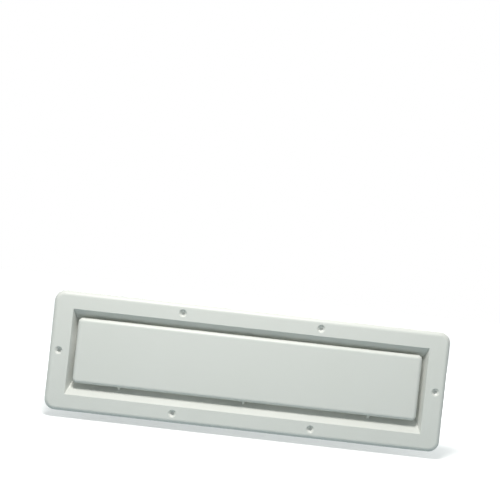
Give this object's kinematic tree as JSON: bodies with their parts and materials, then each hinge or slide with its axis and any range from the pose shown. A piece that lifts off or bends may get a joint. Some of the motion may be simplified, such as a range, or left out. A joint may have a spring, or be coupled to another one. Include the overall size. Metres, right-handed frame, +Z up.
{
  "type": "dorade vent",
  "caption": "Moulded dorade vent for a hull side: flanged mouth, recessed front panel held on ribs, and an open-topped water box whose floor drains forward under the panel.",
  "frame": {"origin": "centre of the screw pattern, on the plane where the flange seats on the hull", "axes": "+X along the vent, +Y inboard along the screws, +Z up towards the box's open top"},
  "size_m": [0.43, 0.0705, 0.13],
  "materials": {
    "abs": "satin off-white ABS"
  },
  "bodies": {
    "root": {"vent_moulding": "abs"}
  },
  "joints": []
}
